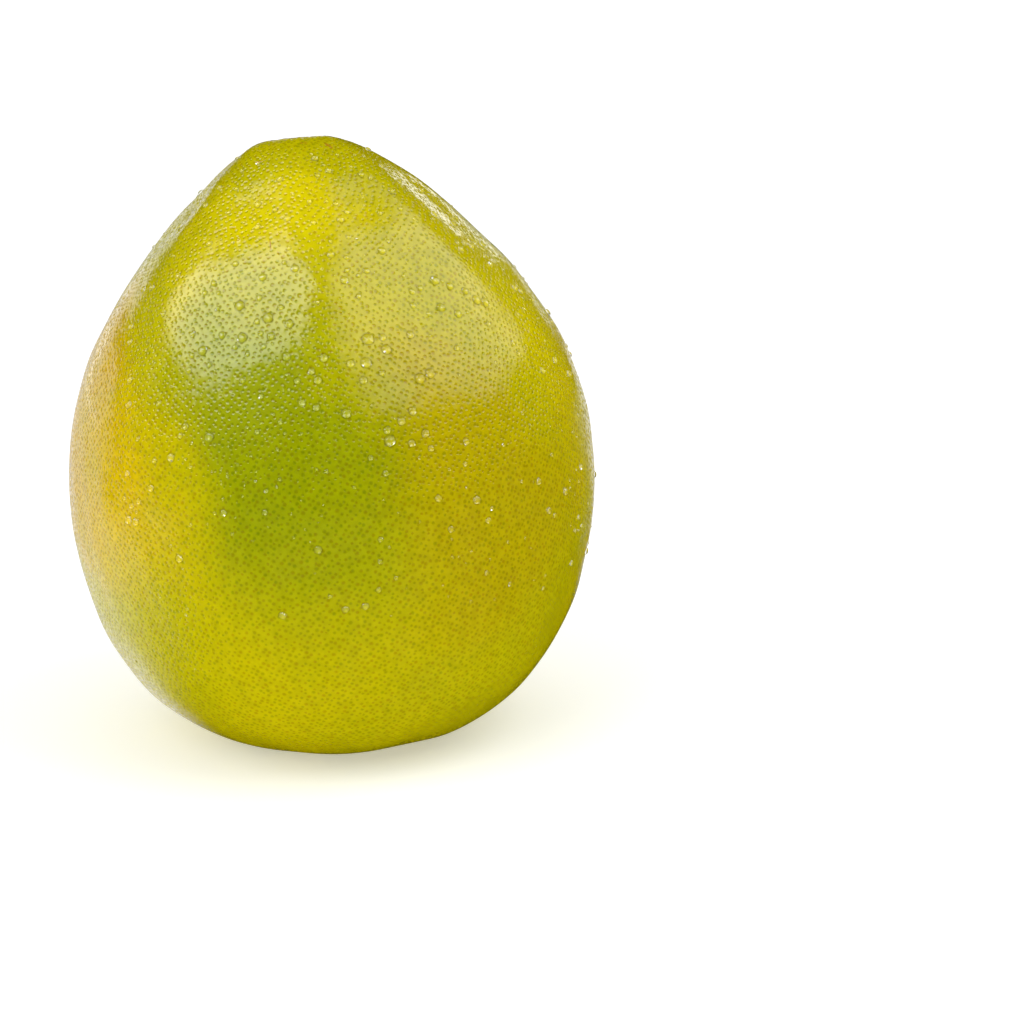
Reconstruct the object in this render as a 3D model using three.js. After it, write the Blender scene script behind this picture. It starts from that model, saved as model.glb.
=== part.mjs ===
// A whole pomelo as picked: one solid fruit with its pored rind, and the calyx button that the cut stem
// leaves in the basin at its top. Millimetres, +Z up. The origin is the middle of the ring it stands on.
import * as THREE from "three";
import { ConvexHull } from "three/addons/math/ConvexHull.js";

// Driving dimensions of the fruit
const FRUIT_HEIGHT = 169.8; // at the middle of the crest, before it tilts
const BELLY_RADIUS = 75;
const BELLY_Z = 75; // height of the widest place
const STEM_BASIN_RADIUS = 9.5; // crest of the small hollow round the stem
const STEM_BASIN_DEPTH = 2.6;
const BASIN_FLOOR_RADIUS = 6; // level floor that carries the calyx button
const FLANK_RADIUS = 53; // a point half way down the straight flank of the neck
const FLANK_Z = 133.5;
const FLANK_ANGLE = THREE.MathUtils.degToRad(51); // how steeply the flank falls there
const REST_RING_OUTER = 23; // the pressed-flat ring that the fruit stands on
const REST_RING_INNER = 13;
const BLOSSOM_BASIN_DEPTH = 2.2; // the hollow inside that ring, with the blossom scar at its middle

// How far the outline runs on straight at each of its joints before it bends: the handles of its curves
const CREST_HANDLE = 10.5;
const FLANK_UP_HANDLE = 17;
const FLANK_DOWN_HANDLE = 20.5;
const BELLY_UP_HANDLE = 23;
const BELLY_DOWN_HANDLE = 49.5;
const FOOT_HANDLE = 26;
const BLOSSOM_HANDLE = 5;

// How the fruit departs from a turned shape
const NECK_LEAN = -1.5; // gentle sideways drift of the upper half, as it grew
const LEAN_POWER = 2; // the drift grows with this power of the height over the belly
const NECK_HOOK = -7.2; // stronger drift near the stem
const HOOK_POWER = 4;
const CREST_TILT = 0.1; // rise of the crest per millimetre towards +X
const CREST_PITCH = 0.22; // rise of the crest per millimetre towards -Y, so the stem basin leans back
const TILT_POWER = 6;
const BROAD_LUMP = 1.1; // the rind's broad swellings, two round the girth
const THREEFOLD_SHARE = 0.6; // three more round the girth, as a share of those
const NECK_RIB = 1; // soft ribs that run down from the stem basin
const NECK_RIB_COUNT = 7;
const NECK_SHARE = 0.17; // where the ribs are strongest, as a share of the outline
const NECK_SPREAD = 0.1; // how far they spread from there
const FRONT_SWELL = 2.5; // the neck is fuller in front
const FRONT_SHARE = 0.23; // where it is fullest, as a share of the outline
const FRONT_SPREAD = 0.066;

// The rind's pores, larger than life: the real ones are 1.8 mm apart
const PORE_COUNT = 1350;
const PORE_DEPTH = 0.45;
const PORE_JITTER = 0.16; // share of the pore spacing
const PORE_SEED = 20;
const PORE_CLEARANCE = 0.6; // kept from the smooth rings, as a share of the pore spacing
const SHOULDER_SHARE = 0.065; // the pores begin and end at these shares of the outline
const HEEL_SHARE = 0.872;

// Driving dimensions of the calyx button
const BUTTON_RADIUS = 4.9;
const BUTTON_LOBES = 5;
const LOBE_SWELL = 0.17; // how far the blunt sepals stand out, as a share of the radius
const BUTTON_THICKNESS = 0.9;
const STUB_RADIUS = 2.1; // cut end of the stem
const STUB_HEIGHT = 0.6; // above the button
const STUB_DISH = 0.25; // the pith sinks a little in the cut
const STUB_BEVEL = 0.15;
const SEAT_GAP = 0.3; // between the button and the floor of its basin
const BUTTON_SIDES = 60;

const RIND = { color: 0xb9ae10, roughness: 0.34, metalness: 0 };
const CALYX = { color: 0x7a6a35, roughness: 0.8, metalness: 0 };

const TURN = 2 * Math.PI;
const GOLDEN_ANGLE = Math.PI * (3 - Math.sqrt(5));

// The same numbers from 0 to 1 on every run
function seededDraws(seed) {
  let state = seed >>> 0;
  return () => {
    state = (Math.imul(state, 1664525) + 1013904223) >>> 0;
    return state / 2 ** 32;
  };
}

// Half of the fruit's outline, from the stem basin's middle down to the blossom scar, as radius and height
function fruitOutline() {
  const flankDown = [Math.cos(FLANK_ANGLE), -Math.sin(FLANK_ANGLE)];
  const alongFlank = (length) => [
    FLANK_RADIUS + length * flankDown[0],
    FLANK_Z + length * flankDown[1],
  ];
  const floorZ = FRUIT_HEIGHT - STEM_BASIN_DEPTH;
  const wall = (STEM_BASIN_RADIUS - BASIN_FLOOR_RADIUS) / 2;
  const outline = new THREE.Path();
  outline.moveTo(0, floorZ);
  outline.lineTo(BASIN_FLOOR_RADIUS, floorZ);
  outline.bezierCurveTo(
    BASIN_FLOOR_RADIUS + wall, floorZ,
    STEM_BASIN_RADIUS - wall, FRUIT_HEIGHT,
    STEM_BASIN_RADIUS, FRUIT_HEIGHT,
  );
  outline.bezierCurveTo(
    STEM_BASIN_RADIUS + CREST_HANDLE, FRUIT_HEIGHT,
    ...alongFlank(-FLANK_UP_HANDLE),
    FLANK_RADIUS, FLANK_Z,
  );
  outline.bezierCurveTo(
    ...alongFlank(FLANK_DOWN_HANDLE),
    BELLY_RADIUS, BELLY_Z + BELLY_UP_HANDLE,
    BELLY_RADIUS, BELLY_Z,
  );
  outline.bezierCurveTo(
    BELLY_RADIUS, BELLY_Z - BELLY_DOWN_HANDLE,
    REST_RING_OUTER + FOOT_HANDLE, 0,
    REST_RING_OUTER, 0,
  );
  outline.lineTo(REST_RING_INNER, 0);
  outline.bezierCurveTo(
    REST_RING_INNER - BLOSSOM_HANDLE, 0,
    BLOSSOM_HANDLE, BLOSSOM_BASIN_DEPTH,
    0, BLOSSOM_BASIN_DEPTH,
  );
  return outline;
}

// Evenly spaced points along the outline, so that a share of its length finds its radius and height
const OUTLINE_STEPS = 2000;
const outline = fruitOutline();
const outlinePoints = outline.getSpacedPoints(OUTLINE_STEPS);
const pieceEnds = outline.getCurveLengths();
const [floorEdge, crest, , , ringOuter, ringInner] = pieceEnds.map((end) => end / outline.getLength());

function outlineAt(share) {
  const place = THREE.MathUtils.clamp(share, 0, 1) * OUTLINE_STEPS;
  const before = Math.min(Math.floor(place), OUTLINE_STEPS - 1);
  return outlinePoints[before].clone().lerp(outlinePoints[before + 1], place - before);
}

// The rind's surface at a share of the outline's length, from stem to blossom, and an angle round the axis
function rindPoint(share, angle) {
  const { x: radius, y: height } = outlineAt(share);
  const rise = Math.max(0, (height - BELLY_Z) / (FRUIT_HEIGHT - BELLY_Z));
  const middle = Math.sin(Math.PI * share) ** 2;
  const neck = Math.exp(-(((share - NECK_SHARE) / NECK_SPREAD) ** 2));
  const front = Math.exp(-(((share - FRONT_SHARE) / FRONT_SPREAD) ** 2));
  const girth = Math.sin(2 * angle) + THREEFOLD_SHARE * Math.sin(3 * angle);
  const ribs = NECK_RIB * neck * Math.sin(NECK_RIB_COUNT * angle);
  const fullness = FRONT_SWELL * front * Math.max(0, -Math.sin(angle)) ** 2;
  const swelling = BROAD_LUMP * middle * girth + ribs + fullness;
  const reach = share > floorEdge && share < ringOuter ? Math.max(0, radius + swelling) : radius;
  const x = reach * Math.cos(angle);
  const y = reach * Math.sin(angle);
  return new THREE.Vector3(
    x + NECK_LEAN * rise ** LEAN_POWER + NECK_HOOK * rise ** HOOK_POWER,
    y,
    height + (CREST_TILT * x - CREST_PITCH * y) * rise ** TILT_POWER,
  );
}

// The rind is spread over a unit sphere by the share of the outline, so that neighbours stay neighbours
function directionOf(share, angle) {
  return new THREE.Vector3().setFromSphericalCoords(1, Math.PI * share, angle);
}

function rindPointToward(direction) {
  const place = new THREE.Spherical().setFromVector3(direction);
  return rindPoint(place.phi / Math.PI, place.theta);
}

// Evenly strewn pores, as a spiral of golden angles with a small seeded shift each, between the two basins
function poreDirections() {
  const draw = seededDraws(PORE_SEED);
  const spacing = Math.sqrt((4 * Math.PI) / PORE_COUNT);
  const clear = (PORE_CLEARANCE * spacing) / Math.PI;
  const directions = [];
  for (let i = 0; i < PORE_COUNT; i++) {
    const share = Math.acos(1 - (2 * i + 1) / PORE_COUNT) / Math.PI;
    const shift = new THREE.Vector3(draw() - 0.5, draw() - 0.5, draw() - 0.5);
    if (share > SHOULDER_SHARE + clear && share < HEEL_SHARE - clear)
      directions.push(
        directionOf(share, i * GOLDEN_ANGLE)
          .addScaledVector(shift, 2 * PORE_JITTER * spacing)
          .normalize(),
      );
  }
  return directions;
}

// Smooth rings round the stem basin and the flat ring that the fruit stands on: share of the outline, points
function smoothDirections() {
  const rings = [
    [0, 1],
    [floorEdge / 2, 8],
    [floorEdge, 20],
    [(floorEdge + crest) / 2, 24],
    [crest, 28],
    [SHOULDER_SHARE, 32],
    [HEEL_SHARE, 38],
    [ringOuter, 36],
    [(ringOuter + ringInner) / 2, 32],
    [ringInner, 28],
    [(2 * ringInner + 1) / 3, 18],
    [(ringInner + 2) / 3, 10],
    [1, 1],
  ];
  return rings.flatMap(([share, count], ring) =>
    Array.from({ length: count }, (_, i) => directionOf(share, (TURN * (i + (ring % 2) / 2)) / count)),
  );
}

// One closed skin: each pore is the low middle of a fan, and fans meet on the level land between pores
function fruitGeometry() {
  const pores = poreDirections();
  const middles = [...pores, ...smoothDirections()];
  const hull = new ConvexHull().setFromPoints(middles);
  const inside = new THREE.Vector3(0, 0, BELLY_Z);
  const positions = [];

  const middleIndex = new Map();
  middles.forEach((direction, i) => {
    const point = rindPointToward(direction);
    const inward = inside.clone().sub(point).normalize();
    point.addScaledVector(inward, i < pores.length ? PORE_DEPTH : 0);
    middleIndex.set(direction, i);
    positions.push(...point);
  });

  const landIndex = new Map();
  hull.faces.forEach((face, i) => {
    const corners = [0, 1, 2].map((corner) => face.getEdge(corner).head().point);
    const middle = corners[0].clone().add(corners[1]).add(corners[2]).normalize();
    landIndex.set(face, middles.length + i);
    positions.push(...rindPointToward(middle));
  });

  const index = [];
  for (const face of hull.faces)
    for (const corner of [0, 1, 2]) {
      // The fan's triangle from the edge's first pore to the land on both sides of the edge
      const edge = face.getEdge(corner);
      index.push(middleIndex.get(edge.tail().point), landIndex.get(edge.twin.face), landIndex.get(face));
    }
  return closedGeometry(positions, index);
}

function closedGeometry(positions, index) {
  const geometry = new THREE.BufferGeometry();
  geometry.setAttribute("position", new THREE.Float32BufferAttribute(positions, 3));
  geometry.setIndex(index);
  geometry.computeVertexNormals();
  return geometry;
}

// The button's section from the middle of its underside to the middle of its top, in proportions of its
// sizes: radius, height, share of the lobes
function buttonSection() {
  const top = BUTTON_THICKNESS;
  const cut = BUTTON_THICKNESS + STUB_HEIGHT;
  return [
    [BUTTON_RADIUS * 0.55, 0, 0.2],
    [BUTTON_RADIUS * 0.9, 0, 0.9],
    [BUTTON_RADIUS, top * 0.25, 1],
    [BUTTON_RADIUS * 0.97, top * 0.6, 1],
    [BUTTON_RADIUS * 0.8, top * 0.85, 0.8],
    [BUTTON_RADIUS * 0.62, top, 0.4],
    [STUB_RADIUS * 1.18, top * 1.05, 0.1],
    [STUB_RADIUS * 1.02, top + STUB_HEIGHT * 0.4, 0],
    [STUB_RADIUS, cut - STUB_BEVEL, 0],
    [STUB_RADIUS * 0.9, cut, 0],
    [STUB_RADIUS * 0.45, cut - STUB_DISH * 0.6, 0],
  ].map(([radius, height, lobed]) => ({ radius, height, lobed }));
}

// A closed skin of rings round an axis, whose radius swells and pinches with the blunt sepals
function buttonGeometry() {
  const section = buttonSection();
  const positions = [0, 0, 0];
  for (const { radius, height, lobed } of section) {
    for (let side = 0; side < BUTTON_SIDES; side++) {
      const angle = (TURN * side) / BUTTON_SIDES;
      const reach = radius * (1 + LOBE_SWELL * lobed * Math.cos(BUTTON_LOBES * angle));
      positions.push(reach * Math.cos(angle), reach * Math.sin(angle), height);
    }
  }
  positions.push(0, 0, BUTTON_THICKNESS + STUB_HEIGHT - STUB_DISH);
  const last = positions.length / 3 - 1;
  const ringStart = (ring) => 1 + ring * BUTTON_SIDES;
  const index = [];
  for (let side = 0; side < BUTTON_SIDES; side++) {
    const next = (side + 1) % BUTTON_SIDES;
    index.push(0, ringStart(0) + next, ringStart(0) + side);
    for (let ring = 0; ring + 1 < section.length; ring++) {
      const low = ringStart(ring);
      const high = ringStart(ring + 1);
      index.push(low + side, low + next, high + next, low + side, high + next, high + side);
    }
    const top = ringStart(section.length - 1);
    index.push(top + side, top + next, last);
  }
  return closedGeometry(positions, index);
}

function fruit() {
  const mesh = new THREE.Mesh(fruitGeometry(), new THREE.MeshStandardMaterial(RIND));
  mesh.name = "fruit";
  return mesh;
}

function calyxButton() {
  const mesh = new THREE.Mesh(buttonGeometry(), new THREE.MeshStandardMaterial(CALYX));
  mesh.name = "calyx_button";
  const middle = rindPoint(0, 0);
  const floorRight = rindPoint(floorEdge, 0).sub(middle);
  const floorBack = rindPoint(floorEdge, Math.PI / 2).sub(middle);
  const floorUp = floorRight.cross(floorBack).normalize();
  mesh.quaternion.setFromUnitVectors(new THREE.Vector3(0, 0, 1), floorUp);
  mesh.position.copy(middle).addScaledVector(floorUp, SEAT_GAP);
  return mesh;
}

const pomelo = new THREE.Group();
pomelo.name = "pomelo";
pomelo.add(fruit(), calyxButton());

export default pomelo;
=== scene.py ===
"""Dresses a whole pomelo for a studio picture: the pored rind, the calyx and the drops of water."""

import logging
import math
from dataclasses import dataclass, field
from enum import Enum

import bmesh
import bpy
import numpy as np
from mathutils import Matrix, Vector


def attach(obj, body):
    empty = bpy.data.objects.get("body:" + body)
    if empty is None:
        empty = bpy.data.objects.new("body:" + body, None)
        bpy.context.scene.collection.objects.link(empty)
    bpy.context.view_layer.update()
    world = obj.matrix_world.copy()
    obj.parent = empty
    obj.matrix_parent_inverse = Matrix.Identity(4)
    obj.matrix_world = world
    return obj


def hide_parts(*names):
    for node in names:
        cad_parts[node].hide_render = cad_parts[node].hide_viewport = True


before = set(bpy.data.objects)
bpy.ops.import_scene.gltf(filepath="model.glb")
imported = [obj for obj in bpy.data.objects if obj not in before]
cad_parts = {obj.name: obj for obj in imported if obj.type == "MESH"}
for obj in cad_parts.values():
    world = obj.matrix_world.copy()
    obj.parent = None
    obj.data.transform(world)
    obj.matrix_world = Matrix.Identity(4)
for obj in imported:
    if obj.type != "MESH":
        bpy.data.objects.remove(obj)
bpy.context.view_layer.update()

log = logging.getLogger("pomelo")

MM = 0.001
BODY = "root"
LEAST_RADIUS = 0.001 * MM
GOLDEN_ANGLE = math.pi * (3 - math.sqrt(5))

Array = np.ndarray
Socket = bpy.types.NodeSocket
Point = tuple[float, float, float]
Colour = tuple[float, float, float, float]
Limits = tuple[float, float]

ORIGIN: Point = (0.0, 0.0, 0.0)
BLACK: Colour = (0.0, 0.0, 0.0, 1.0)
WHITE: Colour = (1.0, 1.0, 1.0, 1.0)


def photo_colour(red: int, green: int, blue: int) -> Colour:
    """Turn a colour as a picture shows it into the light that a surface sends back.

    Args:
        red: Red from 0 to 255.
        green: Green from 0 to 255.
        blue: Blue from 0 to 255.

    Returns:
        Linear red, green, blue and an alpha of 1.
    """
    low_end, slope, offset, power = 0.04045, 12.92, 0.055, 2.4
    shades = [value / 255 for value in (red, green, blue)]
    linear = [s / slope if s <= low_end else ((s + offset) / (1 + offset)) ** power for s in shades]
    return (*linear, 1.0)


def smooth_step(values: Array, low: float, high: float) -> Array:
    """Rise smoothly from 0 at low to 1 at high.

    Args:
        values: Numbers to place between low and high.
        low: Where the rise begins.
        high: Where the rise ends.

    Returns:
        A number from 0 to 1 for each value.
    """
    share = np.clip((values - low) / (high - low), 0, 1)
    return share * share * (3 - 2 * share)


def unit(vectors: Array) -> Array:
    """Bring each vector to a length of 1, and turn one of no length into straight up.

    Args:
        vectors: One vector a row.

    Returns:
        The unit vectors, one a row.
    """
    length = np.linalg.norm(vectors, axis=-1, keepdims=True)
    tiny = 1e-12
    up = np.array([0.0, 0.0, 1.0])
    return np.where(length > tiny, vectors / np.maximum(length, tiny), up)


def mesh_piece(name: str, points: Array, faces: list, finish: bpy.types.Material) -> bpy.types.Object:
    """Make a smooth-shaded mesh object at the origin.

    Args:
        name: Name of the piece.
        points: One vertex a row, in metres.
        faces: Vertex numbers of each face.
        finish: The material of the whole piece.

    Returns:
        The new object, linked to the scene.
    """
    mesh = bpy.data.meshes.new(name)
    mesh.from_pydata(points.tolist(), [], faces)
    mesh.polygons.foreach_set("use_smooth", [True] * len(mesh.polygons))
    mesh.materials.append(finish)
    mesh.update()
    piece = bpy.data.objects.new(name, mesh)
    bpy.context.scene.collection.objects.link(piece)
    return piece


def stacked_faces(rings: int, sides: int) -> list[tuple[int, ...]]:
    """Join rings of vertices into a closed skin, with one vertex before them and one after them.

    Args:
        rings: How many rings there are.
        sides: How many vertices each ring has.

    Returns:
        The vertex numbers of each face.
    """
    faces = []
    last, end = 1 + (rings - 1) * sides, 1 + rings * sides
    for side in range(sides):
        after = (side + 1) % sides
        faces.append((0, 1 + after, 1 + side))
        for low in range(1, last, sides):
            high = low + sides
            faces.append((low + side, low + after, high + after, high + side))
        faces.append((last + side, last + after, end))
    return faces


def hide_from(thing: bpy.types.Object, *rays: str) -> None:
    """Hide a thing from some kinds of ray, such as shadow or glossy.

    Args:
        thing: The piece or light.
        *rays: The kinds of ray.
    """
    for ray in rays:
        setattr(thing, f"visible_{ray}", False)


@dataclass
class PomeloForm:
    """The fruit's outer form in metres: a turned outline that leans, tilts and swells as it grew.

    A place on it is a share of the outline's length, 0 in the stem basin and 1 at the blossom scar, and an
    angle round the upright axis.
    """

    height: float = 169.8 * MM
    belly_radius: float = 75 * MM
    belly_height: float = 75 * MM
    basin_radius: float = 9.5 * MM
    basin_depth: float = 2.6 * MM
    basin_floor_radius: float = 6 * MM
    flank_radius: float = 53 * MM
    flank_height: float = 133.5 * MM
    flank_angle: float = math.radians(51)
    foot_outer: float = 23 * MM
    foot_inner: float = 13 * MM
    blossom_depth: float = 2.2 * MM
    crest_handle: float = 10.5 * MM
    flank_up_handle: float = 17 * MM
    flank_down_handle: float = 20.5 * MM
    belly_up_handle: float = 23 * MM
    belly_down_handle: float = 49.5 * MM
    foot_handle: float = 26 * MM
    blossom_handle: float = 5 * MM
    neck_lean: float = -1.5 * MM
    lean_power: int = 2
    neck_hook: float = -7.2 * MM
    hook_power: int = 4
    crest_tilt: float = 0.1
    crest_pitch: float = 0.22
    tilt_power: int = 6
    broad_lump: float = 1.1 * MM
    threefold_share: float = 0.6
    neck_rib: float = 1.0 * MM
    neck_rib_count: int = 7
    neck_share: float = 0.17
    neck_spread: float = 0.1
    front_swell: float = 2.5 * MM
    front_share: float = 0.23
    front_spread: float = 0.066
    wave_count: int = 26
    shortest_wave: float = 11 * MM
    longest_wave: float = 38 * MM
    wave_steepness: float = 0.0021
    wave_seed: int = 7
    furrow_height: float = 0.05 * MM
    furrow_count: int = 13
    furrow_radius: float = 10 * MM
    furrow_spread: float = 5 * MM
    furrow_wander: Limits = (1.3, 0.8)
    fine_furrows: float = 2.3
    fine_strength: float = 0.5
    calm_foot: Limits = (0.04, 0.004)
    slope_step: float = 2e-4
    steps: int = 400
    shares: Array = field(init=False, repr=False)
    outline: Array = field(init=False, repr=False)
    floor_edge: float = field(init=False)
    foot_edge: float = field(init=False)
    length: float = field(init=False)

    def __post_init__(self) -> None:
        """Measure the outline once, and draw the small waves of the skin."""
        pieces = self._outline_pieces()
        self.outline = np.concatenate([pieces[0][:1]] + [piece[1:] for piece in pieces])
        steps = np.linalg.norm(np.diff(self.outline, axis=0), axis=1)
        along = np.concatenate([[0.0], np.cumsum(steps)])
        self.length = float(along[-1])
        self.shares = along / self.length
        ends = self.shares[self.steps * np.arange(1, len(pieces) + 1)]
        self.floor_edge, self.foot_edge = ends[0], ends[4]
        draw = np.random.default_rng(self.wave_seed)
        wavelengths = draw.uniform(self.shortest_wave, self.longest_wave, self.wave_count)
        ways = unit(draw.normal(size=(self.wave_count, 3)))
        self._wave_vectors = ways * (2 * math.pi / wavelengths)[:, None]
        self._wave_heights = self.wave_steepness * wavelengths
        self._wave_starts = draw.uniform(0, 2 * math.pi, self.wave_count)

    def _outline_pieces(self) -> list[Array]:
        """Draw the outline's straight and curved pieces from the stem down to the blossom scar.

        Returns:
            The points of each piece as radius and height, one a row.
        """
        floor = self.height - self.basin_depth
        wall = (self.basin_radius - self.basin_floor_radius) / 2
        down = np.array([math.cos(self.flank_angle), -math.sin(self.flank_angle)])
        flank = np.array([self.flank_radius, self.flank_height])
        corners = [
            [(0, floor), (self.basin_floor_radius, floor)],
            [
                (self.basin_floor_radius, floor), (self.basin_floor_radius + wall, floor),
                (self.basin_radius - wall, self.height), (self.basin_radius, self.height),
            ],
            [
                (self.basin_radius, self.height), (self.basin_radius + self.crest_handle, self.height),
                flank - self.flank_up_handle * down, flank,
            ],
            [
                flank, flank + self.flank_down_handle * down,
                (self.belly_radius, self.belly_height + self.belly_up_handle),
                (self.belly_radius, self.belly_height),
            ],
            [
                (self.belly_radius, self.belly_height),
                (self.belly_radius, self.belly_height - self.belly_down_handle),
                (self.foot_outer + self.foot_handle, 0), (self.foot_outer, 0),
            ],
            [(self.foot_outer, 0), (self.foot_inner, 0)],
            [
                (self.foot_inner, 0), (self.foot_inner - self.blossom_handle, 0),
                (self.blossom_handle, self.blossom_depth), (0, self.blossom_depth),
            ],
        ]
        return [self._drawn(np.array(piece, float)) for piece in corners]

    def _drawn(self, corners: Array) -> Array:
        """Draw one piece: a straight line between two corners, or a cubic curve with four.

        Args:
            corners: The ends, with the two handles between them on a curve.

        Returns:
            Points along the piece, one a row.
        """
        t = np.linspace(0, 1, self.steps + 1)[:, None]
        if len(corners) == 2:
            return corners[0] + (corners[1] - corners[0]) * t
        first, second, third, last = corners
        return (1 - t) ** 3 * first + 3 * (1 - t) ** 2 * t * second + 3 * (1 - t) * t**2 * third + t**3 * last

    def radius_at(self, share: Array) -> Array:
        """Give the outline's radius at a share of its length."""
        return np.interp(share, self.shares, self.outline[:, 0])

    def share_at_height(self, height: float) -> float:
        """Find the share of the outline at a height above the floor, outside both basins.

        Args:
            height: Height in metres.

        Returns:
            The share of the outline's length.
        """
        outside = self.shares > self.floor_edge
        return float(np.interp(-height, -self.outline[outside, 1], self.shares[outside]))

    def surface(self, share: Array, angle: Array) -> Array:
        """Give the plain surface, as the solid model has it.

        Args:
            share: Shares of the outline.
            angle: Angles round the axis.

        Returns:
            One point a row, in metres.
        """
        radius = self.radius_at(share)
        height = np.interp(share, self.shares, self.outline[:, 1])
        rise = np.maximum(0, (height - self.belly_height) / (self.height - self.belly_height))
        middle = np.sin(np.pi * share) ** 2
        neck = np.exp(-(((share - self.neck_share) / self.neck_spread) ** 2))
        girth = np.sin(2 * angle) + self.threefold_share * np.sin(3 * angle)
        ribs = self.neck_rib * neck * np.sin(self.neck_rib_count * angle)
        front = np.exp(-(((share - self.front_share) / self.front_spread) ** 2))
        fullness = self.front_swell * front * np.maximum(0, -np.sin(angle)) ** 2
        free = (share > self.floor_edge) & (share < self.foot_edge)
        swelling = np.where(free, self.broad_lump * middle * girth + ribs + fullness, 0)
        reach = np.maximum(0, radius + swelling)
        x, y = reach * np.cos(angle), reach * np.sin(angle)
        lean = self.neck_lean * rise**self.lean_power + self.neck_hook * rise**self.hook_power
        lift = (self.crest_tilt * x - self.crest_pitch * y) * rise**self.tilt_power
        return np.stack([x + lean, y, height + lift], axis=-1)

    def normals(self, share: Array, angle: Array) -> Array:
        """Give the outward direction of the plain surface.

        Args:
            share: Shares of the outline.
            angle: Angles round the axis.

        Returns:
            One unit vector a row.
        """
        step = self.slope_step
        above, below = np.maximum(share - step, 0), np.minimum(share + step, 1)
        down = self.surface(below, angle) - self.surface(above, angle)
        round_about = self.surface(share, angle + step) - self.surface(share, angle - step)
        outward = unit(np.cross(down, round_about))
        return np.where((share > 1 - step)[..., None], np.array([0.0, 0.0, -1.0]), outward)

    def skin(self, share: Array, angle: Array) -> Array:
        """Give the surface with its small waves, and with the furrows that gather round the stem.

        Args:
            share: Shares of the outline.
            angle: Angles round the axis.

        Returns:
            One point a row, in metres.
        """
        plain = self.surface(share, angle)
        phases = plain @ self._wave_vectors.T + self._wave_starts
        waves = np.sin(phases) @ self._wave_heights
        radius = self.radius_at(share)
        near_stem = np.exp(-(((radius - self.furrow_radius) / self.furrow_spread) ** 2)) * (share < 0.5)
        slow, quick = self.furrow_wander
        wander = slow * np.sin(3 * angle) + quick * np.sin(5 * angle + 1)
        fine = np.sin(self.fine_furrows * self.furrow_count * angle)
        furrows = np.sin(self.furrow_count * angle + wander) + self.fine_strength * fine
        calm_from, calm_to = self.calm_foot
        loose = 1 - smooth_step(share, self.foot_edge - calm_from, self.foot_edge - calm_to)
        covered = smooth_step(share, self.floor_edge, 2 * self.floor_edge)
        swell = loose * covered * (waves + self.furrow_height * near_stem * furrows)
        return plain + self.normals(share, angle) * swell[..., None]


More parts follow.
